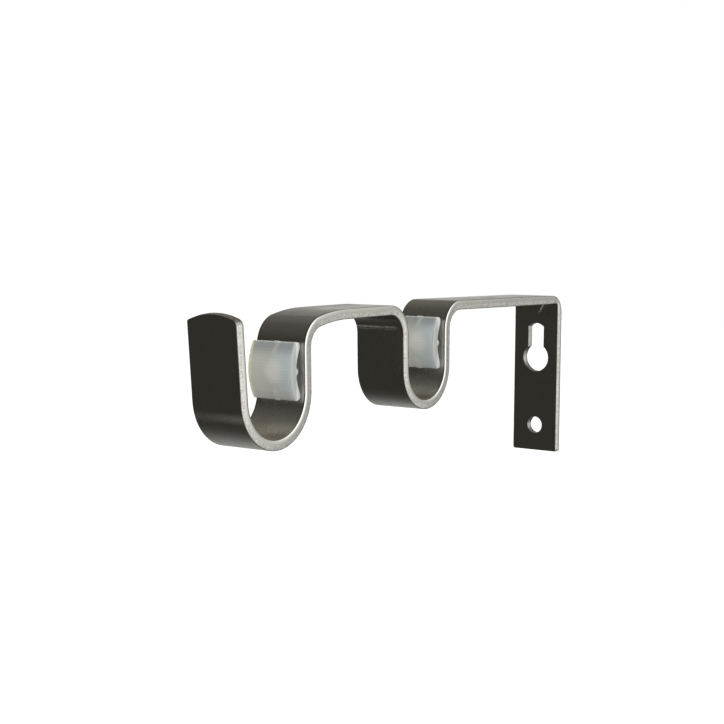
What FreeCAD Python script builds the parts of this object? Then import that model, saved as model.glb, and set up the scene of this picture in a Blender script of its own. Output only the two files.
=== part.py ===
import FreeCAD, Part
import math
import os

# Double curtain pole bracket.
# One flat steel bar is bent cold into a wall plate, an arm and two open cups, one behind the
# other, for a back pole and a front pole. A moulded pad is pushed into the rear leg of each
# cup, and its bowed face presses the pole against the front leg.
# Millimetres. X runs along the wall, Y into the wall and Z up. The origin is on the wall side
# of the plate, on its centre line, half way up the plate's flat length.

# Flat bar
bar_width = 18.0
bar_thickness = 3.0
edge_break = 0.2

# Runs and bends of the bar, in order from the foot of the wall plate to the tip of the front
# cup. Each radius is that of the inside of the bend, and each angle is in degrees.
plate_flat = 51.0
wall_bend_radius = 3.5
wall_bend_angle = 90.0
back_arm_run = 63.2
back_shoulder_radius = 6.0
back_shoulder_angle = 90.3
back_cup_radius = 10.2
back_cup_angle = 178.5
back_lip_run = 11.4
neck_radius = 6.5
neck_angle = 89.1
front_arm_run = 22.2
front_slope_radius = 57.0
front_slope_angle = 12.8
front_shoulder_radius = 5.9
front_shoulder_angle = 77.9
front_cup_radius = 12.3
front_cup_angle = 176.3
front_lip_run = 24.4

# Ends of the bar
foot_corner_radius = 1.0
tip_crown_rise = 1.9
tip_corner_radius = 1.0

# Keyhole in the wall plate: the screw head goes through the round hole and the bracket drops
# until the screw's shank is at the top of the slot
keyhole_head_diameter = 10.2
keyhole_head_height = 34.5
keyhole_slot_width = 6.3
keyhole_slot_reach = 12.65
keyhole_slot_end_rise = 1.3

# Locking screw hole below the keyhole, its height measured from the foot of the plate
screw_hole_diameter = 6.0
screw_hole_height = 9.5

# Pole pad, the same moulding in both cups
pad_width = 15.8
pad_height = 16.6
pad_bow_height = 4.5
pad_end_height = 2.1
pad_corner_radius = 1.25
pad_foot_land = 0.6
pad_hollow_depth = 1.75
pad_ridge_width = 2.4
pad_ridge_height = 0.9
pad_clearance = 0.02
pad_rib_count = 18
pad_rib_rise = 0.1
pad_band_width = 1.6

# Push-in stud on the back of the pad, through a hole in the leg
stud_diameter = 4.8
stud_clearance = 0.1
stud_head_diameter = 6.6
stud_head_crest_diameter = 4.0
stud_head_thickness = 1.3

# Where each pad's stud sits, measured down the leg from the end of the shoulder bend, and how
# far the pad's lower end reaches past the leg's flat, over the start of the cup bend
back_pad_drop = 4.4
back_pad_overhang = 1.0
front_pad_drop = 6.45
front_pad_overhang = 2.75

# How far the stud holes in the legs lie off the bar's centre line
stud_hole_offset = -0.5

# Cutting tools run from in front of the bar's outer face to behind its inner face
tool_overrun = 1.0
tool_start = -bar_thickness - tool_overrun
tool_depth = bar_thickness + 2 * tool_overrun

# Two points nearer than this are the same point
same_point = 1e-6

ACROSS = FreeCAD.Vector(1, 0, 0)
INTO_WALL = FreeCAD.Vector(0, 1, 0)


class BarPath:
    """Draws the long section of the bar in the plane X = 0, both broad faces at once.

    The inner face is the one that meets the wall, the top of the arms and the poles. The
    outer face lies one thickness to the left of the direction of travel.
    """

    def __init__(self, y, z, heading):
        self.y = y
        self.z = z
        self.heading = heading
        self.inner_edges = []
        self.outer_edges = []

    def face_points(self):
        """The points on the inner and the outer face where the path has got to."""
        angle = math.radians(self.heading)
        across = FreeCAD.Vector(0, -math.sin(angle), math.cos(angle))
        inner = FreeCAD.Vector(0, self.y, self.z)
        return inner, inner + across * bar_thickness

    def run(self, length):
        """A straight stretch."""
        inner_start, outer_start = self.face_points()
        angle = math.radians(self.heading)
        self.y += length * math.cos(angle)
        self.z += length * math.sin(angle)
        inner_end, outer_end = self.face_points()
        self.inner_edges.append(Part.LineSegment(inner_start, inner_end).toShape())
        self.outer_edges.append(Part.LineSegment(outer_start, outer_end).toShape())

    def turn_by(self, centre_distance, degrees):
        """Move round a bend whose centre lies centre_distance to the left of the inner face."""
        angle = math.radians(self.heading)
        centre_y = self.y - centre_distance * math.sin(angle)
        centre_z = self.z + centre_distance * math.cos(angle)
        self.heading += degrees
        angle = math.radians(self.heading)
        self.y = centre_y + centre_distance * math.sin(angle)
        self.z = centre_z - centre_distance * math.cos(angle)

    def bend(self, radius, degrees):
        """A bend to the left when degrees is positive, to the right when it is negative."""
        centre_distance = radius + bar_thickness if degrees > 0 else -radius
        inner_start, outer_start = self.face_points()
        self.turn_by(centre_distance, degrees / 2)
        inner_middle, outer_middle = self.face_points()
        self.turn_by(centre_distance, degrees / 2)
        inner_end, outer_end = self.face_points()
        self.inner_edges.append(Part.Arc(inner_start, inner_middle, inner_end).toShape())
        self.outer_edges.append(Part.Arc(outer_start, outer_middle, outer_end).toShape())

    def place(self):
        """Where the path has got to, for what is cut or seated there."""
        return self.y, self.z, self.heading

    def face(self):
        """The closed section between the two faces, from the foot to the tip."""
        tip = Part.LineSegment(*self.face_points()).toShape()
        foot = Part.LineSegment(
            self.inner_edges[0].Vertexes[0].Point, self.outer_edges[0].Vertexes[0].Point
        ).toShape()
        edges = self.inner_edges + [tip] + self.outer_edges[::-1] + [foot]
        return Part.Face(Part.Wire(Part.__sortEdges__(edges)))


def draw_bar():
    """The bar's section, and the places where its rear legs start and where its tip ends."""
    path = BarPath(0, -plate_flat / 2, 90)
    path.run(plate_flat)
    path.bend(wall_bend_radius, wall_bend_angle)
    path.run(back_arm_run)
    path.bend(back_shoulder_radius, back_shoulder_angle)
    back_leg = path.place()
    path.run(back_pad_drop + pad_height / 2 - back_pad_overhang)
    path.bend(back_cup_radius, -back_cup_angle)
    path.run(back_lip_run)
    path.bend(neck_radius, neck_angle)
    path.run(front_arm_run)
    path.bend(front_slope_radius, front_slope_angle)
    path.bend(front_shoulder_radius, front_shoulder_angle)
    front_leg = path.place()
    path.run(front_pad_drop + pad_height / 2 - front_pad_overhang)
    path.bend(front_cup_radius, -front_cup_angle)
    path.run(front_lip_run)
    return path.face(), back_leg, front_leg, path.place()


def set_on_bar(shape, place, upright_heading, along=0.0, aside=0.0):
    """Turn a shape made upright at the origin and set it on the bar's inner face."""
    y, z, heading = place
    angle = math.radians(heading)
    placed = shape.copy()
    placed.rotate(FreeCAD.Vector(0, 0, 0), ACROSS, heading - upright_heading)
    placed.translate(
        FreeCAD.Vector(aside, y + along * math.cos(angle), z + along * math.sin(angle))
    )
    return placed


def set_on_leg(shape, leg, drop):
    """Set a stud hole or a pad on a rear leg, a given way down from its shoulder."""
    return set_on_bar(shape, leg, 270, drop, stud_hole_offset)


def prism(wire, start, length, direction):
    """A closed wire in a plane through the origin, as a prism along direction."""
    face = Part.Face(wire)
    face.translate(direction * start)
    return face.extrude(direction * length)


def edges_along_thickness(shape, height):
    """The two corner edges of an end of the bar, at a height in that end's own frame."""
    corners = []
    for edge in shape.Edges:
        points = [vertex.Point for vertex in edge.Vertexes]
        at_height = all(abs(point.z - height) < same_point for point in points)
        at_side = all(abs(abs(point.x) - bar_width / 2) < same_point for point in points)
        same_side = abs(points[0].x - points[-1].x) < same_point
        if at_height and at_side and same_side:
            corners.append(edge)
    return corners


def arch_topped(half_width, foot, shoulder, peak):
    """A panel through the bar's thickness, with a flat foot, straight sides and an arched top."""
    left_foot = FreeCAD.Vector(-half_width, 0, foot)
    left_shoulder = FreeCAD.Vector(-half_width, 0, shoulder)
    top = FreeCAD.Vector(0, 0, peak)
    right_shoulder = FreeCAD.Vector(half_width, 0, shoulder)
    right_foot = FreeCAD.Vector(half_width, 0, foot)
    outline = Part.Wire(
        [
            Part.LineSegment(left_foot, left_shoulder).toShape(),
            Part.Arc(left_shoulder, top, right_shoulder).toShape(),
            Part.LineSegment(right_shoulder, right_foot).toShape(),
            Part.LineSegment(right_foot, left_foot).toShape(),
        ]
    )
    return prism(outline, tool_start, tool_depth, INTO_WALL)


def tip_trim():
    """What the press trims off the tip to leave its low crown, made upright, peak at Z = 0."""
    half = bar_width / 2
    foot = -tip_crown_rise - tip_corner_radius - tool_overrun
    tongue = arch_topped(half, foot, -tip_crown_rise, 0)
    tongue = tongue.makeFillet(tip_corner_radius, edges_along_thickness(tongue, -tip_crown_rise))
    block = Part.makeBox(
        bar_width + 2 * tool_overrun,
        tool_depth,
        tool_overrun - foot,
        FreeCAD.Vector(-half - tool_overrun, tool_start, foot),
    )
    return block.cut(tongue)


def long_edges(shape):
    """The edges of both broad faces, all along the two sides of the bar."""
    sides = []
    for face in shape.Faces:
        on_side = all(abs(abs(v.Point.x) - bar_width / 2) < same_point for v in face.Vertexes)
        if on_side:
            sides.extend(face.Edges)
    return [edge for edge in sides if edge.Length > bar_thickness + same_point]


def hole_cut(diameter, height):
    """A round hole through the wall plate, centred at a height above the plate's foot."""
    centre = FreeCAD.Vector(0, tool_start, height - plate_flat / 2)
    return Part.makeCylinder(diameter / 2, tool_depth, centre, INTO_WALL)


def keyhole_cut():
    """The keyhole's round hole and the slot above it."""
    centre = keyhole_head_height - plate_flat / 2
    slot_top = centre + keyhole_slot_reach
    slot_shoulder = slot_top - keyhole_slot_end_rise
    slot = arch_topped(keyhole_slot_width / 2, centre, slot_shoulder, slot_top)
    return hole_cut(keyhole_head_diameter, keyhole_head_height).fuse(slot).removeSplitter()


def stud_hole_cut():
    """The hole in a leg for a pad's stud, made upright at the origin."""
    radius = stud_diameter / 2 + stud_clearance
    start = FreeCAD.Vector(0, -tool_overrun, 0)
    return Part.makeCylinder(radius, tool_depth, start, INTO_WALL)


def bent_bar(section, back_leg, front_leg, tip):
    """The whole bar: bent, trimmed at both ends, its edges broken, and its holes punched."""
    section.translate(ACROSS * (-bar_width / 2))
    bar = section.extrude(ACROSS * bar_width)
    bar = bar.cut(set_on_bar(tip_trim(), tip, 90))
    bar = bar.makeFillet(foot_corner_radius, edges_along_thickness(bar, -plate_flat / 2))
    bar = bar.makeChamfer(edge_break, long_edges(bar))
    bar = bar.cut(keyhole_cut())
    bar = bar.cut(hole_cut(screw_hole_diameter, screw_hole_height))
    bar = bar.cut(set_on_leg(stud_hole_cut(), back_leg, back_pad_drop))
    bar = bar.cut(set_on_leg(stud_hole_cut(), front_leg, front_pad_drop))
    return bar


def bow_point(across_height, bow_radius):
    """A point on the pad's bowed face, at a height above or below its middle."""
    drop = bow_radius - math.sqrt(bow_radius**2 - across_height**2)
    return FreeCAD.Vector(0, -(pad_bow_height - drop), across_height)


def pad_front(ribbed):
    """The edges of the bowed face from its foot to its top, plain or as a row of fine ribs."""
    half = pad_height / 2
    bow_rise = pad_bow_height - pad_end_height
    bow_radius = (half**2 + bow_rise**2) / (2 * bow_rise)
    if not ribbed:
        foot, middle, top = [bow_point(z, bow_radius) for z in (-half, 0, half)]
        return [Part.Arc(foot, middle, top).toShape()]
    pitch = pad_height / pad_rib_count
    ribs = []
    for number in range(pad_rib_count):
        valley = bow_point(-half + number * pitch, bow_radius)
        next_valley = bow_point(-half + (number + 1) * pitch, bow_radius)
        valley.y += pad_rib_rise
        next_valley.y += pad_rib_rise
        crest = bow_point(-half + (number + 0.5) * pitch, bow_radius)
        ribs.append(Part.Arc(valley, crest, next_valley).toShape())
    return ribs


def pad_back():
    """The edges of the pad's back, from its top to its foot.

    Two narrow feet face the leg. Between them the back is hollow, with a low ridge across its
    middle, and outside them it rounds off to the pad's ends.
    """
    foot_end = pad_height / 2 - pad_corner_radius
    foot_start = foot_end - pad_foot_land
    ridge_half = pad_ridge_width / 2
    hollow_radius = (foot_start**2 + pad_hollow_depth**2) / (2 * pad_hollow_depth)

    def corner(degrees):
        angle = math.radians(degrees)
        lift = pad_corner_radius * (1 - math.cos(angle))
        return FreeCAD.Vector(0, -lift, foot_end + pad_corner_radius * math.sin(angle))

    def hollow(height):
        sag = hollow_radius - math.sqrt(hollow_radius**2 - height**2)
        return FreeCAD.Vector(0, -(pad_hollow_depth - sag), height)

    hollow_middle = (foot_start + ridge_half) / 2
    upper = [
        Part.Arc(corner(90), corner(45), corner(0)).toShape(),
        Part.LineSegment(corner(0), hollow(foot_start)).toShape(),
        Part.Arc(hollow(foot_start), hollow(hollow_middle), hollow(ridge_half)).toShape(),
    ]
    ridge_crest = FreeCAD.Vector(0, -(pad_hollow_depth - pad_ridge_height), 0)
    ridge = [Part.Arc(hollow(ridge_half), ridge_crest, hollow(-ridge_half)).toShape()]
    middle_plane = FreeCAD.Vector(0, 0, 1)
    lower = [edge.mirror(FreeCAD.Vector(0, 0, 0), middle_plane) for edge in upper]
    return upper + ridge + lower


def stand_off():
    """How far the feet stand off the legs, so that the front pad clears its cup bend."""
    reach = front_cup_radius - pad_corner_radius
    past_flat = front_pad_overhang - pad_corner_radius
    return reach - math.sqrt(reach**2 - past_flat**2) + pad_clearance


def pad_slice(width, ribbed):
    """A slice of the pad's body, centred on X = 0, with its feet at Y = 0."""
    half = pad_height / 2
    front = pad_front(ribbed)
    top_front = front[-1].valueAt(front[-1].LastParameter)
    foot_front = front[0].valueAt(front[0].FirstParameter)
    top = Part.LineSegment(top_front, FreeCAD.Vector(0, -pad_corner_radius, half)).toShape()
    foot = Part.LineSegment(FreeCAD.Vector(0, -pad_corner_radius, -half), foot_front).toShape()
    outline = Part.Wire(Part.__sortEdges__(front + [top] + pad_back() + [foot]))
    return prism(outline, -width / 2, width, ACROSS)


def stud():
    """The stud and its snap head, turned about Y, from inside the pad to behind the leg."""
    root = -pad_bow_height / 2
    crest = bar_thickness + stud_head_thickness
    points = [
        FreeCAD.Vector(0, root, 0),
        FreeCAD.Vector(stud_diameter / 2, root, 0),
        FreeCAD.Vector(stud_diameter / 2, bar_thickness, 0),
        FreeCAD.Vector(stud_head_diameter / 2, bar_thickness, 0),
        FreeCAD.Vector(stud_head_crest_diameter / 2, crest, 0),
        FreeCAD.Vector(0, crest, 0),
        FreeCAD.Vector(0, root, 0),
    ]
    section = Part.Face(Part.makePolygon(points))
    return section.revolve(FreeCAD.Vector(0, 0, 0), INTO_WALL, 360)


def pole_pad():
    """One pad: ribbed body, plain band down its middle where the mould was fed, and stud."""
    body = pad_slice(pad_width, True).fuse(pad_slice(pad_band_width, False))
    body.translate(FreeCAD.Vector(0, -stand_off(), 0))
    return body.fuse(stud()).removeSplitter()


section, back_leg, front_leg, tip = draw_bar()
pad = pole_pad()
nodes = {
    "bent_bar": bent_bar(section, back_leg, front_leg, tip),
    "back_pole_pad": set_on_leg(pad, back_leg, back_pad_drop),
    "front_pole_pad": set_on_leg(pad, front_leg, front_pad_drop),
}

os.makedirs("parts", exist_ok=True)
for name, shape in nodes.items():
    shape.exportStep(os.path.join("parts", name + ".step"))
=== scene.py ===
import math

import bmesh
import bpy
from mathutils import Matrix, Vector


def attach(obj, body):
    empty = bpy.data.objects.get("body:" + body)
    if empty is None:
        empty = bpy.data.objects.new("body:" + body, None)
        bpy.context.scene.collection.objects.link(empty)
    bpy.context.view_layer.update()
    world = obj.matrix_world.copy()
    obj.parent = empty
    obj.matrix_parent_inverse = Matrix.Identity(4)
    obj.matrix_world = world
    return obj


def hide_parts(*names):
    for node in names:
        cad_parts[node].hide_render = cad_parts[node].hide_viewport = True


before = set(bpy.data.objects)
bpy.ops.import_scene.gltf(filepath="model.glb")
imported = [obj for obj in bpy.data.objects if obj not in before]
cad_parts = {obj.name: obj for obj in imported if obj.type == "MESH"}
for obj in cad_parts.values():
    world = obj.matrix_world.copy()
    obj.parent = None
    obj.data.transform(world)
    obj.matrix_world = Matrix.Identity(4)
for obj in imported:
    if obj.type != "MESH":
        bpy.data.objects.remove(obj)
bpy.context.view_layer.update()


# The bracket itself is one flat bar of mild steel, 18 by 3 mm. It is sheared to length, its
# holes are punched while it is flat, and then it is bent cold round formers into the wall
# plate, the back arm and cup, and the front arm and cup. It is satin plated all over.
mm = 0.001

bar_width = 18.0 * mm
bar_thickness = 3.0 * mm
rolled_edge_depth = 0.8 * mm
rolled_edge_across = 0.25 * mm
rolled_lead_in = 0.85 * mm
rolled_lead_drop = 0.02 * mm
sheared_clean_depth = 1.3 * mm
sheared_slant = 0.2 * mm
punched_roll_depth = 0.3 * mm
punched_roll_across = 0.15 * mm
punched_slant = 0.04 * mm
burr_break = 0.06 * mm

plate_flat = 51.0 * mm
foot_corner_radius = 1.0 * mm
wall_bend_radius = 3.5 * mm
wall_bend_nip_radius = 1.2 * mm
tip_crown_rise = 1.9 * mm
tip_corner_radius = 1.0 * mm
tip_eased_corner_radius = 2.3 * mm

keyhole_head_height = 34.5 * mm
keyhole_head_radius = 5.1 * mm
keyhole_slot_half_width = 3.15 * mm
keyhole_slot_reach = 12.65 * mm
keyhole_slot_end_rise = 1.3 * mm
screw_hole_height = 9.5 * mm
screw_hole_radius = 3.0 * mm
stud_hole_radius = 2.5 * mm
stud_hole_offset = -0.5 * mm

back_pad_drop = 4.4 * mm
front_pad_drop = 6.45 * mm
leg_below_back_pad = 7.3 * mm
leg_below_front_pad = 5.55 * mm

corner_steps = 8
eased_corner_steps = 16
crown_steps = 48
keyhole_head_steps = 56
keyhole_slot_end_steps = 16
round_hole_sides = 48
roll_steps = 7
degrees_per_strip = 2.5
flat_strip_length = 4.0 * mm


def straight(length):
    return {"length": length, "turn": 0.0, "centre": 0.0}


def bend(inside_radius, degrees):
    """A bend to the left of the way along the bar, or to the right when degrees is negative."""
    turn = math.radians(degrees)
    centre = inside_radius + bar_thickness if turn > 0 else -inside_radius
    middle_radius = inside_radius + bar_thickness / 2
    return {"length": middle_radius * abs(turn), "turn": turn, "centre": centre}


stretches = {
    "plate": straight(plate_flat),
    "wall_bend": bend(wall_bend_radius, 90),
    "back_arm": straight(63.2 * mm),
    "back_shoulder": bend(6.0 * mm, 90.3),
    "back_leg": straight(back_pad_drop + leg_below_back_pad),
    "back_cup": bend(10.2 * mm, -178.5),
    "back_lip": straight(11.4 * mm),
    "neck": bend(6.5 * mm, 89.1),
    "front_arm": straight(22.2 * mm),
    "front_slope": bend(57.0 * mm, 12.8),
    "front_shoulder": bend(5.9 * mm, 77.9),
    "front_leg": straight(front_pad_drop + leg_below_front_pad),
    "front_cup": bend(12.3 * mm, -176.3),
    "front_lip": straight(24.4 * mm),
}


def along_stretch(stretch, distance):
    """The inner face's place and heading, some way along a stretch."""
    y, z, heading = stretch["from"]
    if not stretch["turn"]:
        return y + distance * math.cos(heading), z + distance * math.sin(heading), heading
    centre = stretch["centre"]
    y -= centre * math.sin(heading)
    z += centre * math.cos(heading)
    heading += stretch["turn"] * distance / stretch["length"]
    return y + centre * math.sin(heading), z - centre * math.cos(heading), heading


# The bar starts at the foot of the wall plate, with its inner face on the wall
reached = 0.0
place = (0.0, -plate_flat / 2, math.radians(90))
for stretch in stretches.values():
    stretch["start"] = reached
    stretch["from"] = place
    place = along_stretch(stretch, stretch["length"])
    reached += stretch["length"]
bar_length = reached


def nipped_by(part_way):
    """How deep the punch's narrow nose bites into the wall bend, part of the way round it."""
    off_middle = math.radians(90) * (part_way - 0.5)
    off_flat = math.radians(45) - abs(off_middle)
    nose = wall_bend_radius - wall_bend_nip_radius
    if math.tan(off_flat) < nose / wall_bend_radius:
        return wall_bend_radius / math.cos(off_flat) - wall_bend_radius
    nose *= math.sqrt(2)
    beyond = math.sqrt(wall_bend_nip_radius**2 - (nose * math.sin(off_middle)) ** 2)
    return nose * math.cos(off_middle) + beyond - wall_bend_radius


def bent(along, across, depth):
    """Where a point of the flat bar lands once it is bent. Depth runs from the inner face."""
    passed = [s for s in stretches.values() if s["start"] <= along] or [stretches["plate"]]
    stretch = passed[-1]
    distance = along - stretch["start"]
    y, z, heading = along_stretch(stretch, distance)
    if stretch is stretches["wall_bend"]:
        depth *= 1 - nipped_by(distance / stretch["length"]) / bar_thickness
    return Vector((across, y - depth * math.sin(heading), z + depth * math.cos(heading)))


def arc(centre_along, centre_across, radius, start, end, steps):
    """Points round an arc on the flat bar, with its angles in degrees from the way along."""
    points = []
    for step in range(steps + 1):
        angle = math.radians(start + (end - start) * step / steps)
        along = centre_along + radius * math.cos(angle)
        points.append(Vector((along, centre_across + radius * math.sin(angle))))
    return points


def stations():
    """Where the flat bar is divided across, finely in its bends and coarsely between them."""
    places = []
    for stretch in stretches.values():
        if stretch["turn"]:
            parts = max(4, round(abs(math.degrees(stretch["turn"])) / degrees_per_strip))
        else:
            parts = max(2, round(stretch["length"] / flat_strip_length))
        step = stretch["length"] / parts
        places += [stretch["start"] + step * part for part in range(parts)]
    return places[1:]


def tip_corner(radius, crown_radius):
    """A corner's centre, measured from that of the tip's crown, and the angle they meet at."""
    across = bar_width / 2 - radius
    reach = math.sqrt((crown_radius - radius) ** 2 - across**2)
    return reach, across, math.degrees(math.atan2(across, reach))


def bar_outline():
    """The sheared outline in five runs: foot, left side, crowned tip, right side and foot."""
    half = bar_width / 2
    rounding = foot_corner_radius
    crown_radius = (half**2 + tip_crown_rise**2) / (2 * tip_crown_rise)
    crown_centre = bar_length - crown_radius
    reach, across, angle = tip_corner(tip_corner_radius, crown_radius)
    eased_reach, eased_across, eased_angle = tip_corner(tip_eased_corner_radius, crown_radius)
    eased_along = crown_centre + eased_reach
    eased_radius = tip_eased_corner_radius
    places = stations()
    foot_start = arc(rounding, rounding - half, rounding, 180, 270, corner_steps)
    left_side = [Vector((along, -half)) for along in places]
    tip = arc(crown_centre + reach, -across, tip_corner_radius, -90, -angle, corner_steps)
    tip += arc(crown_centre, 0, crown_radius, -angle, eased_angle, crown_steps)[1:-1]
    tip += arc(eased_along, eased_across, eased_radius, eased_angle, 90, eased_corner_steps)
    right_side = [Vector((along, half)) for along in reversed(places)]
    foot_end = arc(rounding, half - rounding, rounding, 90, 180, corner_steps)
    return foot_start, left_side, tip, right_side, foot_end


def keyhole_outline():
    """A round hole for the screw's head, and above it the slot that its shank slides into."""
    half = keyhole_slot_half_width
    head = keyhole_head_height
    head_radius = keyhole_head_radius
    opening = math.degrees(math.asin(half / head_radius))
    rise = keyhole_slot_end_rise
    end_radius = (half**2 + rise**2) / (2 * rise)
    end_centre = head + keyhole_slot_reach - end_radius
    end_angle = math.degrees(math.asin(half / end_radius))
    outline = arc(head, 0, head_radius, 360 - opening, opening, keyhole_head_steps)
    return outline + arc(end_centre, 0, end_radius, end_angle, -end_angle, keyhole_slot_end_steps)


def round_hole(along, across, radius):
    sides = round_hole_sides
    return arc(along, across, radius, 360, 360 / sides, sides - 1)


def drawn_in(outline, distance):
    """The outline moved into the metal, which lies to the left of the way round it."""
    moved = []
    for number, point in enumerate(outline):
        arriving = (point - outline[number - 1]).normalized()
        leaving = (outline[(number + 1) % len(outline)] - point).normalized()
        middle = (arriving + leaving).normalized()
        mitre = distance / middle.dot(leaving)
        moved.append(point + mitre * Vector((-middle.y, middle.x)))
    return moved


def cut_wall(roll_across, roll_depth, slant):
    """How far a cut wall stands back at each depth: rolled over, then clean, then torn."""
    wall = [(rolled_lead_in, 0.0)]
    for step in range(roll_steps + 1):
        angle = math.radians(90 * step / roll_steps)
        depth = rolled_lead_drop + (roll_depth - rolled_lead_drop) * (1 - math.cos(angle))
        wall.append((roll_across * (1 - math.sin(angle)), depth))
    torn_end = bar_thickness - burr_break
    wall += [(0.0, sheared_clean_depth), (slant, torn_end), (slant + burr_break, bar_thickness)]
    return wall


def join_rings(made, rings):
    """Faces between each ring of points and the next."""
    for first, second in zip(rings, rings[1:]):
        for number in range(len(first)):
            made.faces.new((first[number - 1], first[number], second[number], second[number - 1]))


def add_wall(made, outline, wall):
    """One cut wall of the flat bar. Gives its rings of points on the two broad faces."""
    rings = []
    for distance, depth in wall:
        rings.append([made.verts.new((*point, depth)) for point in drawn_in(outline, distance)])
    join_rings(made, rings)
    return rings[0], rings[-1]


def punched_holes():
    """Each hole's outline, and where along the bar it starts and ends."""
    back_stud = stretches["back_leg"]["start"] + back_pad_drop
    front_stud = stretches["front_leg"]["start"] + front_pad_drop
    outlines = [
        keyhole_outline(),
        round_hole(screw_hole_height, 0, screw_hole_radius),
        round_hole(back_stud, stud_hole_offset, stud_hole_radius),
        round_hole(front_stud, stud_hole_offset, stud_hole_radius),
    ]
    holes = []
    for outline in outlines:
        first = min(point.x for point in outline) - rolled_lead_in
        last = max(point.x for point in outline) + rolled_lead_in
        holes.append((outline, first, last))
    return holes


def lay_broad_face(made, ring, lengths, rims):
    """One broad face: a strip between each two stations, filled round the holes."""
    foot, side, tip = lengths[:3]
    left = ring[foot : foot + side]
    right = ring[foot + side + tip : foot + side + tip + side][::-1]
    made.faces.new(ring[foot + side - 1 : foot + side + tip + 1])
    made.faces.new([right[0]] + ring[foot + side + tip + side :] + ring[: foot + 1])
    holes = [(first, last, rim) for (outline, first, last), rim in zip(punched_holes(), rims)]
    filling = []
    for number in range(side - 1):
        corners = (left[number], left[number + 1], right[number + 1], right[number])
        start, end = corners[0].co.x, corners[1].co.x
        crossing = [hole for hole in holes if start < hole[1] and end > hole[0]]
        if not crossing:
            made.faces.new(corners)
            continue
        filling += [made.edges.get(corners[:2]), made.edges.get(corners[2:])]
        if all(first >= start for first, last, rim in crossing):
            filling.append(made.edges.get(corners[::3]) or made.edges.new(corners[::3]))
        for first, last, rim in crossing:
            filling += [edge for edge in rim if edge not in filling]
        if all(last <= end for first, last, rim in crossing):
            filling.append(made.edges.get(corners[1:3]) or made.edges.new(corners[1:3]))
            bmesh.ops.triangle_fill(made, use_beauty=True, edges=filling, normal=(0, 0, 1))
            filling = []


def flat_bar():
    """The flat bar as it leaves the press, with its rims and holes."""
    made = bmesh.new()
    sheared = cut_wall(rolled_edge_across, rolled_edge_depth, sheared_slant)
    punched = cut_wall(punched_roll_across, punched_roll_depth, punched_slant)
    runs = bar_outline()
    rings = add_wall(made, [point for run in runs for point in run], sheared)
    lengths = [len(run) for run in runs]
    hole_rings = [add_wall(made, outline, punched) for outline, first, last in punched_holes()]
    for face in (0, 1):
        rims = []
        for pair in hole_rings:
            ring = pair[face]
            rims.append([made.edges.get((ring[n - 1], ring[n])) for n in range(len(ring))])
        lay_broad_face(made, rings[face], lengths, rims)
    return made


def finished_mesh(made, name):
    """The mesh of a piece, smooth all over."""
    for face in made.faces:
        face.smooth = True
    mesh = bpy.data.meshes.new(name)
    made.to_mesh(mesh)
    made.free()
    return mesh


def bent_bar_mesh():
    """The bent bar, which keeps for its finish where each point lay on the flat bar."""
    made = flat_bar()
    on_blank = made.verts.layers.float_vector.new("on_blank")
    for vert in made.verts:
        along, across, depth = vert.co
        vert[on_blank] = (along, across, depth)
        vert.co = bent(along, across, depth)
    bmesh.ops.recalc_face_normals(made, faces=made.faces)
    return finished_mesh(made, "bent_bar")


def stand_piece(name, mesh, material):
    """Puts a piece in the scene, shaded softly round its bends with its flats left flat."""
    mesh.materials.append(material)
    piece = bpy.data.objects.new(name, mesh)
    bpy.context.scene.collection.objects.link(piece)
    flats = piece.modifiers.new("keep_flats_flat", "WEIGHTED_NORMAL")
    flats.keep_sharp = True
    return piece


def noise(vector, scale=1.0, detail=2.0, roughness=0.5):
    """Soft random clouds between 0 and 1."""
    node = vector.id_data.nodes.new("ShaderNodeTexNoise")
    node.inputs["Scale"].default_value = scale
    node.inputs["Detail"].default_value = detail
    node.inputs["Roughness"].default_value = roughness
    vector.id_data.links.new(vector, node.inputs["Vector"])
    return node.outputs["Fac"]


def ramped(value, low, high, to_low, to_high):
    """A value eased from one range to another, and held level beyond its ends."""
    node = value.id_data.nodes.new("ShaderNodeMapRange")
    node.interpolation_type = "SMOOTHSTEP"
    node.inputs["From Min"].default_value = low
    node.inputs["From Max"].default_value = high
    node.inputs["To Min"].default_value = to_low
    node.inputs["To Max"].default_value = to_high
    value.id_data.links.new(value, node.inputs["Value"])
    return node.outputs["Result"]


def maths(operation, first, second=0.0):
    """A sum on two values, either of which may be a plain number."""
    tree = (second if isinstance(first, float) else first).id_data
    node = tree.nodes.new("ShaderNodeMath")
    node.operation = operation
    for socket, value in zip(node.inputs, (first, second)):
        if isinstance(value, float):
            socket.default_value = value
        else:
            tree.links.new(value, socket)
    return node.outputs["Value"]


def close_to(value, middle, reach):
    """One where the value is at the middle, easing to nothing at its reach to either side."""
    return ramped(maths("ABSOLUTE", maths("SUBTRACT", value, middle)), 0.0, reach, 1.0, 0.0)


def mixed_colour(factor, first, second):
    """The first colour, giving way to the second as the factor rises to one."""
    tree = factor.id_data
    node = tree.nodes.new("ShaderNodeMix")
    node.data_type = "RGBA"
    tree.links.new(factor, node.inputs["Factor"])
    for socket, value in ((node.inputs["A"], first), (node.inputs["B"], second)):
        if isinstance(value, tuple):
            socket.default_value = (*value, 1)
        else:
            tree.links.new(value, socket)
    return node.outputs["Result"]


def new_finish(name, kept_place):
    """A new material, the place kept on each point of the piece, and that place's three parts."""
    material = bpy.data.materials.new(name)
    material.use_nodes = True
    tree = material.node_tree
    kept = tree.nodes.new("ShaderNodeAttribute")
    kept.attribute_name = kept_place
    split = tree.nodes.new("ShaderNodeSeparateXYZ")
    tree.links.new(kept.outputs["Vector"], split.inputs["Vector"])
    return material, kept.outputs["Vector"], split.outputs


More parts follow.
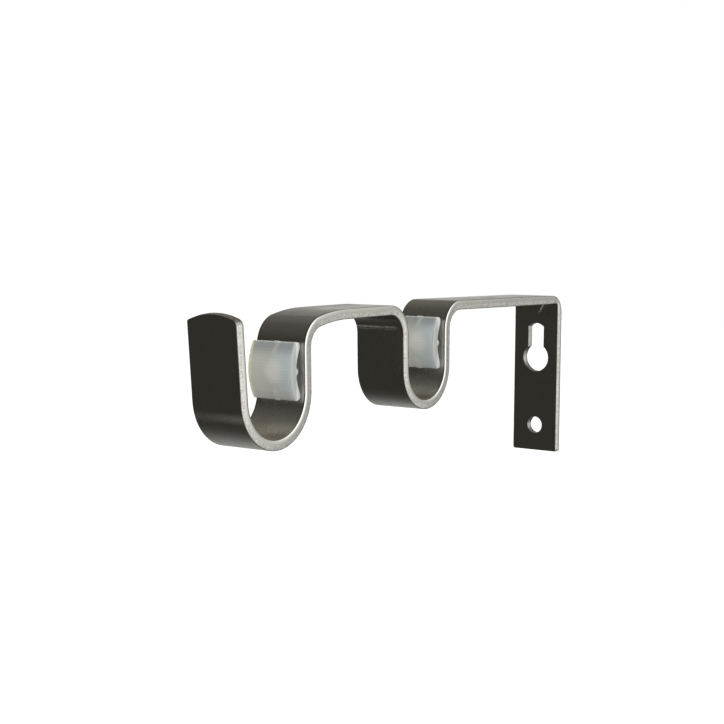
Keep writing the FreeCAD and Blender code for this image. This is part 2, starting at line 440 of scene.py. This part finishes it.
def bumped(height, strength, distance):
    """Fine relief from a height. The strength may be a number or a value."""
    tree = height.id_data
    node = tree.nodes.new("ShaderNodeBump")
    node.inputs["Distance"].default_value = distance
    if isinstance(strength, float):
        node.inputs["Strength"].default_value = strength
    else:
        tree.links.new(strength, node.inputs["Strength"])
    tree.links.new(height, node.inputs["Height"])
    return node


face_tones = (0.45, 0.45, 0.425), (0.47, 0.47, 0.445)
clean_wall_tone = (0.45, 0.445, 0.41)
torn_wall_tones = (0.38, 0.375, 0.35), (0.62, 0.61, 0.575)
# The rolled band's pale tone is a painted highlight along the rolled edge.
painted_roll_highlight_tone = (0.8, 0.79, 0.76)
# The burr's dark tone is a painted shadow on the wall just under the burr.
burr_shadow_tone = (0.13, 0.12, 0.105)
# A thin dark line of painted shade at the inner face's rim, beside the painted highlight.
painted_rim_shade_tone = (0.25, 0.24, 0.22)
# The cup floors' warm, light tone is a painted reflection of the lit lips.
cup_floor_reflection_tone = (0.56, 0.51, 0.40)

inner_rim_end = 0.12 * mm
outer_rim_start = bar_thickness - 0.02 * mm
torn_wall_start = sheared_clean_depth + 0.3 * mm
roll_shine_start = 0.02 * mm, 0.08 * mm
roll_shine_end = 0.18 * mm, 0.42 * mm
burr_shade_start = bar_thickness - 0.32 * mm, bar_thickness - 0.14 * mm
brush_line_depth = 0.01 * mm
torn_grain_depth = 0.1 * mm
torn_roughness = 0.14
torn_relief = 0.7
rolled_edge_polish = 0.13
cup_floor_reflection_strength = 0.3
cup_floor_middle = 1.12
cup_floor_reach = 0.95

marks_strength = 0.3
cup_mark_strength = 0.35
cup_mark_part_way = 0.91
cup_mark_reach = 1.9 * mm
neck_mark_along = 2.8 * mm
neck_mark_reach = 0.6 * mm
faint_mark_strength = 0.5
faint_mark_along = 1.9 * mm
faint_mark_reach = 0.3 * mm
scratch_strength = 1.25
scratch_along = 53.6 * mm
scratch_across = 2.3 * mm
scratch_lean_along = 0.45
scratch_lean_across = 0.89
scratch_middle = 53.9 * mm
scratch_reach = 3.8 * mm
scratch_half_width = 0.4 * mm


def scaled(place, along, across, depth):
    """The place on the flat bar stretched, so that noise over it runs in lines or grains."""
    mapping = place.id_data.nodes.new("ShaderNodeMapping")
    mapping.inputs["Scale"].default_value = (along, across, depth)
    place.id_data.links.new(place, mapping.inputs["Vector"])
    return mapping.outputs["Vector"]


def bending_marks(along, across, patchy):
    """The rubs that the formers left on the outer face, at the front cup and by the neck."""
    cup = stretches["front_cup"]
    cup_place = cup["start"] + cup_mark_part_way * cup["length"]
    cup_mark = close_to(along, cup_place, cup_mark_reach)
    cup_mark = maths("MULTIPLY", cup_mark, ramped(across, -6.0 * mm, 9.0 * mm, 0.8, 1.7))
    cup_mark = maths("MULTIPLY", cup_mark, cup_mark_strength)
    neck = stretches["neck"]["start"]
    neck_mark = close_to(along, neck + neck_mark_along, neck_mark_reach)
    faint_mark = close_to(along, neck + faint_mark_along, faint_mark_reach)
    neck_mark = maths("ADD", neck_mark, maths("MULTIPLY", faint_mark, faint_mark_strength))
    neck_mark = maths("MULTIPLY", neck_mark, ramped(across, 5.0 * mm, 8.0 * mm, 1.6, 0.0))
    neck_mark = maths("MULTIPLY", neck_mark, patchy)
    return maths("MULTIPLY", maths("MAXIMUM", cup_mark, neck_mark), marks_strength)


def plate_scratch(along, across):
    """The short slanting scratch on the outer face, where the wall plate starts to bend."""
    off_across = maths("SUBTRACT", across, scratch_across)
    off_across = maths("MULTIPLY", off_across, scratch_lean_across)
    off_along = maths("MULTIPLY", maths("SUBTRACT", along, scratch_along), scratch_lean_along)
    line = close_to(maths("SUBTRACT", off_across, off_along), 0.0, scratch_half_width)
    line = maths("MULTIPLY", line, close_to(along, scratch_middle, scratch_reach))
    return maths("MULTIPLY", line, scratch_strength)


def inside_cups(along):
    """The floors of the two cups, smoother than the rest, and warmer and lighter by a painted
    reflection.
    """
    floors = []
    for name in ("back_cup", "front_cup"):
        cup = stretches[name]
        half = cup["length"] / 2
        middle = cup["start"] + cup_floor_middle * half
        floors.append(close_to(along, middle, cup_floor_reach * half))
    return maths("MAXIMUM", *floors)


def satin_steel():
    """Satin plate over brushed steel, with rolled, clean and torn bands on its cut walls."""
    material, on_blank, (along, across, depth) = new_finish("satin_steel", "on_blank")
    links = material.node_tree.links
    shader = material.node_tree.nodes["Principled BSDF"]
    shader.inputs["Anisotropic"].default_value = 0.3

    brush_lines = noise(scaled(on_blank, 60, 5000, 0))
    clouds = noise(scaled(on_blank, 130, 260, 300))
    torn_grain = noise(scaled(on_blank, 2300, 2300, 1700), detail=3.0, roughness=0.65)
    patchy = noise(scaled(on_blank, 700, 420, 0), detail=3.0, roughness=0.6)
    patchy = ramped(patchy, 0.38, 0.62, 0.55, 1.0)

    off_inner_face = ramped(depth, rolled_lead_drop, inner_rim_end, 0.0, 1.0)
    off_outer_face = ramped(depth, bar_thickness - burr_break, bar_thickness, 1.0, 0.0)
    on_cut_wall = maths("MULTIPLY", off_inner_face, off_outer_face)
    on_inner_face = maths("SUBTRACT", 1.0, off_inner_face)
    on_outer_face = ramped(depth, outer_rim_start, bar_thickness, 0.0, 1.0)
    past_clean = ramped(depth, sheared_clean_depth, torn_wall_start, 0.0, 1.0)
    on_torn_wall = maths("MULTIPLY", past_clean, off_outer_face)
    onto_roll = ramped(depth, *roll_shine_start, 0.0, 1.0)
    on_roll = maths("MULTIPLY", onto_roll, ramped(depth, *roll_shine_end, 1.0, 0.0))
    # Painted shadow: a dark band on the cut wall just short of the outer face.
    burr_shadow = ramped(depth, *burr_shade_start, 0.0, 1.0)
    # Painted shade: a thin dark line where the inner face runs into the rolled edge.
    painted_rim_shade = maths("MULTIPLY", ramped(depth, 0.0, rolled_lead_drop, 0.0, 1.0), on_inner_face)

    # Painted reflection: the cup floors get a warmer, lighter tone and less metal.
    in_cups = maths("MULTIPLY", inside_cups(along), on_inner_face)
    rubs_and_cup_reflection = maths("MAXIMUM", bending_marks(along, across, patchy), plate_scratch(along, across))
    rubs_and_cup_reflection = maths("MULTIPLY", rubs_and_cup_reflection, on_outer_face)
    rubs_and_cup_reflection = maths("MAXIMUM", rubs_and_cup_reflection, maths("MULTIPLY", in_cups, cup_floor_reflection_strength))

    face_tone = mixed_colour(ramped(brush_lines, 0.35, 0.65, 0.0, 1.0), *face_tones)
    face_tone = mixed_colour(painted_rim_shade, face_tone, painted_rim_shade_tone)
    face_tone = mixed_colour(in_cups, face_tone, cup_floor_reflection_tone)
    torn_tone = mixed_colour(ramped(torn_grain, 0.35, 0.65, 0.0, 1.0), *torn_wall_tones)
    wall_tone = mixed_colour(past_clean, clean_wall_tone, torn_tone)
    # Painted highlight: the rolled band of each cut wall is given a pale tone.
    wall_tone = mixed_colour(on_roll, wall_tone, painted_roll_highlight_tone)
    wall_tone = mixed_colour(burr_shadow, wall_tone, burr_shadow_tone)
    links.new(mixed_colour(on_cut_wall, face_tone, wall_tone), shader.inputs["Base Color"])
    links.new(maths("SUBTRACT", 1.0, rubs_and_cup_reflection), shader.inputs["Metallic"])

    brushed_roughness = ramped(brush_lines, 0.3, 0.7, 0.25, 0.31)
    roughness = maths("ADD", brushed_roughness, ramped(clouds, 0.3, 0.7, -0.02, 0.03))
    roughness = maths("ADD", roughness, maths("MULTIPLY", on_torn_wall, torn_roughness))
    roughness = maths("SUBTRACT", roughness, maths("MULTIPLY", on_roll, rolled_edge_polish))
    links.new(roughness, shader.inputs["Roughness"])

    brushed_relief = ramped(in_cups, 0.0, 1.0, 0.035, 0.01)
    brushed = bumped(brush_lines, brushed_relief, brush_line_depth)
    torn = bumped(torn_grain, maths("MULTIPLY", on_torn_wall, torn_relief), torn_grain_depth)
    links.new(brushed.outputs["Normal"], torn.inputs["Normal"])
    links.new(torn.outputs["Normal"], shader.inputs["Normal"])
    return material


bar = stand_piece("bar", bent_bar_mesh(), satin_steel())
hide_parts("bent_bar")
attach(bar, "root")


# Each pole bears on a pad, a milky soft moulding with a bowed face ribbed along the pole. It is
# moulded in one with a stud, pushed through the leg until its head snaps out behind.
pad_width = 15.8 * mm
pad_height = 16.6 * mm
pad_bow_height = 4.5 * mm
pad_end_height = 2.1 * mm
pad_corner_radius = 1.25 * mm
pad_front_softening = 0.3 * mm
pad_rim_radius = 0.35 * mm
pad_foot_land = 0.6 * mm
pad_foot_break = 0.05 * mm
pad_foot_break_depth = 0.04 * mm
pad_hollow_depth = 1.75 * mm
pad_ridge_half_width = 1.2 * mm
pad_ridge_height = 0.9 * mm
pad_stand_off = 0.12 * mm

pad_rib_count = 18
pad_rib_rise = 0.025 * mm
pad_band_half_width = 0.8 * mm
pad_band_offset = 1.0 * mm
pad_band_edge = 0.05 * mm
pad_nib_rise = 0.2 * mm
gate_ring_height = -6.6 * mm
gate_ring_radius = 0.5 * mm
gate_ring_softness = 0.15 * mm
gate_ring_rise = 0.07 * mm

stud_radius = 2.4 * mm
stud_head_radius = 3.3 * mm
stud_head_crest_radius = 2.0 * mm
stud_head_thickness = 1.3 * mm
stud_head_softening = 0.2 * mm
stud_head_gap = 0.01 * mm

stud_sides = 48
pad_hollow_steps = 26
pad_softening_steps = 4
pad_steps_per_rib = 8
pad_rim_steps = 5
pad_ribbed_steps = 8
pad_half_band_steps = 7
same_point = 0.002 * mm


def pad_face(height, ribbed):
    """The depth of the bowed face at a height, in front of the pad's feet."""
    half = pad_height / 2
    bow_rise = pad_bow_height - pad_end_height
    bow_radius = (half**2 + bow_rise**2) / (2 * bow_rise)
    depth = bow_radius - math.sqrt(bow_radius**2 - height**2) - pad_bow_height
    if ribbed:
        across_rib = (height * pad_rib_count / pad_height) % 1.0
        depth += pad_rib_rise * (2 * across_rib - 1) ** 2
    return depth


def pad_hollow(height):
    """The depth of the hollow between the feet, with the low ridge across its middle."""
    reach = pad_height / 2 - pad_corner_radius - pad_foot_land
    hollow_radius = (reach**2 + pad_hollow_depth**2) / (2 * pad_hollow_depth)
    depth = hollow_radius - math.sqrt(hollow_radius**2 - height**2) - pad_hollow_depth
    across_ridge = min(1.0, height / pad_ridge_half_width)
    return depth + pad_ridge_height * (1 - across_ridge**2) ** 1.2


def pad_section(ribbed):
    """The section as depth and height, going up the back and down the front."""
    half = pad_height / 2
    foot_end = half - pad_corner_radius
    foot_start = foot_end - pad_foot_land
    top = half if ribbed else half + pad_nib_rise
    upper = []
    for step in range(pad_hollow_steps):
        height = foot_start * step / pad_hollow_steps
        upper.append(Vector((pad_hollow(height), height)))
    upper.append(Vector((-pad_foot_break_depth, foot_start + pad_foot_break)))
    upper += arc(-pad_corner_radius, foot_end, pad_corner_radius, 0, 90, corner_steps)
    soft = pad_front_softening
    corner = Vector((-pad_end_height, top))
    arriving = Vector((soft - pad_end_height, top))
    leaving = Vector((pad_face(half - soft, ribbed), half - soft))
    for step in range(pad_softening_steps + 1):
        part = step / pad_softening_steps
        upper.append(
            arriving * (1 - part) ** 2 + corner * (2 * part * (1 - part)) + leaving * part**2
        )
    steps = pad_steps_per_rib * pad_rib_count // 2
    for step in range(1, steps + 1):
        height = (half - soft) * (1 - step / steps)
        upper.append(Vector((pad_face(height, ribbed), height)))
    lower = [Vector((point.x, -point.y)) for point in reversed(upper[1:-1])]
    return upper + lower


def close_ends(made, rings):
    """Flat faces over the first and the last ring."""
    made.faces.new(rings[0])
    made.faces.new(rings[-1])
    bmesh.ops.recalc_face_normals(made, faces=made.faces)


def pad_body():
    """The body of the pad, with its feet at depth 0 and its middle at the origin."""
    made = bmesh.new()
    half = pad_width / 2
    side = []
    for step in range(pad_rim_steps + 1):
        angle = math.radians(90 * step / pad_rim_steps)
        drawn = pad_rim_radius * (1 - math.sin(angle))
        side.append((half - pad_rim_radius * (1 - math.cos(angle)), drawn, True))
    ribbed_start = pad_band_half_width + pad_band_edge
    ribbed_run = half - pad_rim_radius - ribbed_start
    for step in range(1, pad_ribbed_steps + 1):
        side.append((ribbed_start + ribbed_run * (1 - step / pad_ribbed_steps), 0.0, True))
    band = []
    for step in range(2 * pad_half_band_steps + 1):
        band.append((pad_band_half_width * (1 - step / pad_half_band_steps), 0.0, False))
    mirrored = [(-across, drawn, ribbed) for across, drawn, ribbed in reversed(side)]
    rings = []
    for across, drawn, ribbed in side + band + mirrored:
        across += pad_band_offset * (1 - abs(across) / half)
        ring = []
        for point in drawn_in(pad_section(ribbed), drawn):
            depth, height = point
            from_gate = math.hypot(across, height - gate_ring_height)
            if depth < -pad_end_height:
                off_ring = (from_gate - gate_ring_radius) / gate_ring_softness
                depth -= gate_ring_rise * math.exp(-(off_ring**2))
            ring.append(made.verts.new((across, depth - pad_stand_off, height)))
        rings.append(ring)
    join_rings(made, rings)
    close_ends(made, rings)
    return made


def pad_stud():
    """The stud and its snap head, turned about the way through the leg."""
    behind = bar_thickness + stud_head_gap
    crest = bar_thickness + stud_head_thickness
    soft = stud_head_softening
    profile = [
        (stud_radius, -pad_bow_height / 2),
        (stud_radius, behind),
        (stud_head_radius - soft, behind),
        (stud_head_radius, behind + soft),
        (stud_head_crest_radius + soft, crest - soft / 2),
        (stud_head_crest_radius - soft, crest),
    ]
    made = bmesh.new()
    rings = []
    for radius, depth in profile:
        ring = []
        for step in range(stud_sides):
            angle = math.radians(360 * step / stud_sides)
            place = (radius * math.cos(angle), depth, radius * math.sin(angle))
            ring.append(made.verts.new(place))
        rings.append(ring)
    join_rings(made, rings)
    close_ends(made, rings)
    return made


def pad_moulding():
    """The body and its stud as one solid moulding, split evenly where the two meet."""
    parts = []
    for name, made in (("pad_body", pad_body()), ("pad_stud", pad_stud())):
        mesh = bpy.data.meshes.new(name)
        made.to_mesh(mesh)
        made.free()
        part = bpy.data.objects.new(name, mesh)
        bpy.context.scene.collection.objects.link(part)
        parts.append(part)
    body, stud = parts
    join = body.modifiers.new("join", "BOOLEAN")
    join.operation = "UNION"
    join.solver = "EXACT"
    join.object = stud
    joined = body.evaluated_get(bpy.context.evaluated_depsgraph_get())
    moulding = bpy.data.meshes.new_from_object(joined)
    for part in parts:
        bpy.data.objects.remove(part)
    tidied = bmesh.new()
    tidied.from_mesh(moulding)
    bmesh.ops.remove_doubles(tidied, verts=tidied.verts, dist=same_point)
    bmesh.ops.dissolve_degenerate(tidied, edges=tidied.edges, dist=same_point)
    by_stud = []
    for face in tidied.faces:
        across, depth, height = face.calc_center_median()
        if depth > -pad_bow_height / 2 and math.hypot(across, height) < stud_head_radius:
            by_stud.append(face)
    bmesh.ops.triangulate(tidied, faces=by_stud, quad_method="BEAUTY", ngon_method="BEAUTY")
    tidied.to_mesh(moulding)
    tidied.free()
    return moulding


def pad_on_leg(name, moulding, leg, drop):
    """The moulding set on its leg, keeping for its finish where each point lies on the pad."""
    made = bmesh.new()
    made.from_mesh(moulding)
    on_pad = made.verts.layers.float_vector.new("on_pad")
    for vert in made.verts:
        across, depth, height = vert.co
        vert[on_pad] = (across, depth, height)
        y, z, heading = along_stretch(stretches[leg], drop - height)
        y -= depth * math.sin(heading)
        z += depth * math.cos(heading)
        vert.co = (across + stud_hole_offset, y, z)
    return finished_mesh(made, name)


milk_lit_through_tone = (0.60, 0.605, 0.545)
milk_cool_sheen_tone = (0.60, 0.67, 0.675)
stud_glow_tone = (0.76, 0.765, 0.72)
shaded_off_middle_tone = (0.36, 0.38, 0.39)
shaded_under_top_tone = (0.27, 0.29, 0.30)
lit_above_foot_tone = (0.72, 0.73, 0.70)
parting_line_tone = (0.82, 0.83, 0.80)
left_end_lit_through_tone = (0.76, 0.71, 0.53)
shaded_right_end_tone = (0.47, 0.485, 0.48)
back_tone = (0.86, 0.87, 0.85)
top_and_foot_highlight_tone = (0.72, 0.72, 0.70)
light_reach = 3.5 * mm
warmth_wanders_by = 2.0 * mm
glow_offset = 1.8 * mm
parting_line_offset = -0.1 * mm
parting_line_reach = 1.3 * mm
parting_line_lean = 0.22
pad_grain_relief = 0.25
pad_grain_depth = 0.02 * mm


def painted_stud_glow(across, height):
    """A painted glow of light on the face in front of the stud, set a little to one side of it."""
    tree = across.id_data
    flattened = tree.nodes.new("ShaderNodeCombineXYZ")
    tree.links.new(maths("SUBTRACT", across, glow_offset), flattened.inputs["X"])
    tree.links.new(height, flattened.inputs["Y"])
    from_stud = tree.nodes.new("ShaderNodeVectorMath")
    from_stud.operation = "LENGTH"
    tree.links.new(flattened.outputs["Vector"], from_stud.inputs[0])
    return ramped(from_stud.outputs["Value"], 1.5 * mm, 4.6 * mm, 0.9, 0.0)


def parting_line(across, height):
    """The slanting line that the halves of the mould left near the top and the foot."""
    leaning = maths("SUBTRACT", across, maths("MULTIPLY", height, parting_line_lean))
    line = close_to(leaning, parting_line_offset, parting_line_reach)
    return maths("MULTIPLY", line, ramped(height, 4.6 * mm, 5.8 * mm, 0.0, 0.3))


def milky_moulding():
    """Soft milky plastic, with painted light: warm where light comes through, cool toward one
    side.
    """
    material, on_pad, (across, depth, upward) = new_finish("milky_moulding", "on_pad")
    links = material.node_tree.links
    shader = material.node_tree.nodes["Principled BSDF"]
    shader.inputs["Subsurface Weight"].default_value = 1.0
    shader.inputs["Subsurface Radius"].default_value = (1.0, 1.0, 1.0)
    shader.inputs["Subsurface Scale"].default_value = light_reach
    shader.inputs["IOR"].default_value = 1.45

    height = maths("ABSOLUTE", upward)
    milk = noise(on_pad, scale=260.0, detail=3.0)
    grain = noise(on_pad, scale=2600.0)
    wandering = maths("ADD", across, maths("MULTIPLY", milk, warmth_wanders_by))
    # Painted light: the milk turns from a warm lit-through tint to a cool sheen across the pad.
    painted_cooling = ramped(wandering, 0.5 * mm, 5.0 * mm, 0.0, 1.0)
    tone = mixed_colour(painted_cooling, milk_lit_through_tone, milk_cool_sheen_tone)
    for part_of_pad, part_tone in (
        (painted_stud_glow(across, height), stud_glow_tone),
        # Painted shade toward the top and the foot of the bowed face.
        (ramped(height, 4.5 * mm, 8.0 * mm, 0.0, 0.4), shaded_off_middle_tone),
        # Painted shade, darker toward the top.
        (ramped(upward, 3.0 * mm, 7.5 * mm, 0.0, 0.6), shaded_under_top_tone),
        # Painted light, lighter toward the foot.
        (ramped(upward, -7.8 * mm, -3.5 * mm, 0.45, 0.0), lit_above_foot_tone),
        (parting_line(across, height), parting_line_tone),
        # Painted light shining through the left end.
        (ramped(across, -7.4 * mm, -6.4 * mm, 1.0, 0.0), left_end_lit_through_tone),
        # Painted shade on the right end face.
        (ramped(across, 7.2 * mm, 7.6 * mm, 0.0, 1.0), shaded_right_end_tone),
        (ramped(depth, -2.4 * mm, -1.7 * mm, 0.0, 0.85), back_tone),
        # Painted highlight on the top and foot faces.
        (ramped(height, 8.0 * mm, 8.25 * mm, 0.0, 0.8), top_and_foot_highlight_tone),
    ):
        tone = mixed_colour(part_of_pad, tone, part_tone)
    links.new(tone, shader.inputs["Base Color"])
    links.new(ramped(milk, 0.3, 0.7, 0.34, 0.44), shader.inputs["Roughness"])
    grainy = bumped(grain, pad_grain_relief, pad_grain_depth)
    links.new(grainy.outputs["Normal"], shader.inputs["Normal"])
    return material


moulding = pad_moulding()
pad_material = milky_moulding()
for name, leg, drop in (
    ("back_pad", "back_leg", back_pad_drop),
    ("front_pad", "front_leg", front_pad_drop),
):
    pad = stand_piece(name, pad_on_leg(name, moulding, leg, drop), pad_material)
    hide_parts(name.replace("pad", "pole_pad"))
    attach(pad, "root")


# The bracket hangs on a wall, so the pale floor lies well below it. The floor shows white to
# the camera, still takes the bracket's shadow, and isn't seen in the steel.
floor_height = -150 * mm
floor_size = 6.0
floor_glow = 0.85


def pale_floor():
    """Matt and pale, and lifted to white where the camera sees it."""
    material = bpy.data.materials.new("pale_floor")
    material.use_nodes = True
    nodes = material.node_tree.nodes
    shader = nodes["Principled BSDF"]
    shader.inputs["Base Color"].default_value = (0.8, 0.8, 0.8, 1)
    shader.inputs["Roughness"].default_value = 0.9
    shader.inputs["Emission Color"].default_value = (1, 1, 1, 1)
    path = nodes.new("ShaderNodeLightPath")
    seen = maths("MULTIPLY", path.outputs["Is Camera Ray"], floor_glow)
    material.node_tree.links.new(seen, shader.inputs["Emission Strength"])
    return material


bpy.ops.mesh.primitive_plane_add(size=floor_size, location=(0, 0, floor_height))
floor = bpy.context.object
floor.name = "floor"
floor.data.materials.append(pale_floor())
floor.visible_glossy = False


# The studio is white behind the bracket and to its right, and dim in front of it to the left,
# so that the broad faces turn dark and the cut walls bright. Four soft lamps light the pads
# and the shadow, and only the walls of the studio are seen in the steel.
lamp_size = 0.8
lamps_aimed_at = Vector((0, -0.09, 0))
room_tint = (1.06, 1.0, 0.87)
wall_tint = (1.0, 1.0, 0.99)


def studio_world():
    """The studio's walls, each bright in its own direction, and plain white to the camera."""
    world = bpy.data.worlds.new("studio")
    world.use_nodes = True
    nodes = world.node_tree.nodes
    links = world.node_tree.links
    toward = nodes.new("ShaderNodeTexCoord")

    def facing(direction, low, high, to_low, to_high):
        dot = nodes.new("ShaderNodeVectorMath")
        dot.operation = "DOT_PRODUCT"
        links.new(toward.outputs["Generated"], dot.inputs[0])
        dot.inputs[1].default_value = Vector(direction).normalized()
        return ramped(dot.outputs["Value"], low, high, to_low, to_high)

    def tinted(value, colour):
        node = nodes.new("ShaderNodeVectorMath")
        node.operation = "SCALE"
        node.inputs[0].default_value = colour
        links.new(value, node.inputs["Scale"])
        return node.outputs["Vector"]

    dome = facing((0, 0, 1), 0.1, 0.8, 0.055, 0.13)
    room = maths("ADD", dome, facing((-0.3, 0.75, 0.6), 0.5, 0.95, 0.0, 0.1))
    backdrop = facing((-0.45, 0.89, 0), 0.1, 0.9, 0.0, 0.72)
    for limit in (
        facing((-1, 0, 0), 0.05, 0.42, 0.0, 1.0),
        facing((0, 0, 1), 0.0, 0.5, 1.0, 0.0),
        facing((0, 0, -1), 0.05, 0.5, 1.0, 0.6),
        facing((0, 0, -1), 0.7, 0.87, 1.0, 0.6),
    ):
        backdrop = maths("MULTIPLY", backdrop, limit)
    right_wall = facing((0.97, 0.26, 0.05), 0.42, 0.87, 0.0, 1.0)
    right_wall = maths("ADD", right_wall, facing((0.91, 0.41, 0.05), 0.9, 0.985, 0.0, 1.25))

    lit = nodes.new("ShaderNodeVectorMath")
    lit.operation = "ADD"
    links.new(tinted(room, room_tint), lit.inputs[0])
    links.new(tinted(maths("ADD", backdrop, right_wall), wall_tint), lit.inputs[1])
    path = nodes.new("ShaderNodeLightPath")
    seen = mixed_colour(path.outputs["Is Camera Ray"], lit.outputs["Vector"], (1, 1, 1))
    links.new(seen, nodes["Background"].inputs["Color"])
    return world


def soft_lamp(name, place, power):
    """A square soft lamp turned to the middle of the bracket, which the steel doesn't show."""
    lamp_data = bpy.data.lights.new(name, "AREA")
    lamp_data.size = lamp_size
    lamp_data.energy = power
    lamp = bpy.data.objects.new(name, lamp_data)
    lamp.location = place
    to_bracket = lamps_aimed_at - lamp.location
    lamp.rotation_euler = to_bracket.to_track_quat("-Z", "Y").to_euler()
    lamp.visible_glossy = False
    lamp.visible_camera = False
    bpy.context.scene.collection.objects.link(lamp)


bpy.context.scene.world = studio_world()
soft_lamp("right_lamp", (1.0, -0.75, 0.3), 5.5)
soft_lamp("left_lamp", (-0.7, -1.0, 0.35), 3.8)
soft_lamp("bounce_lamp", (0.1, -0.3, -0.9), 3.5)
soft_lamp("top_lamp", (-0.1, -0.5, 1.0), 2.2)


# The camera stands where the photograph was taken from: in front of the bracket and to its
# right, a little above it and looking slightly down.
camera_place = Vector((0.257108, -0.465086, 0.049471))
camera_yaw = math.radians(36.0415)
camera_pitch = math.radians(4.6535)
camera_roll = math.radians(-0.4709)
camera_lens = 70.97
camera_sensor = 36

forward = Vector(
    (
        -math.sin(camera_yaw) * math.cos(camera_pitch),
        math.cos(camera_yaw) * math.cos(camera_pitch),
        -math.sin(camera_pitch),
    )
)
level_right = Vector((math.cos(camera_yaw), math.sin(camera_yaw), 0))
level_down = forward.cross(level_right)
right = level_right * math.cos(camera_roll) + level_down * math.sin(camera_roll)
down = forward.cross(right)
turned = Matrix((right, -down, -forward)).transposed().to_4x4()
camera_data = bpy.data.cameras.new("camera")
camera_data.lens = camera_lens
camera_data.sensor_width = camera_sensor
camera = bpy.data.objects.new("camera", camera_data)
camera.matrix_world = Matrix.Translation(camera_place) @ turned
bpy.context.scene.collection.objects.link(camera)
bpy.context.scene.camera = camera

bpy.context.scene.view_settings.view_transform = "Standard"
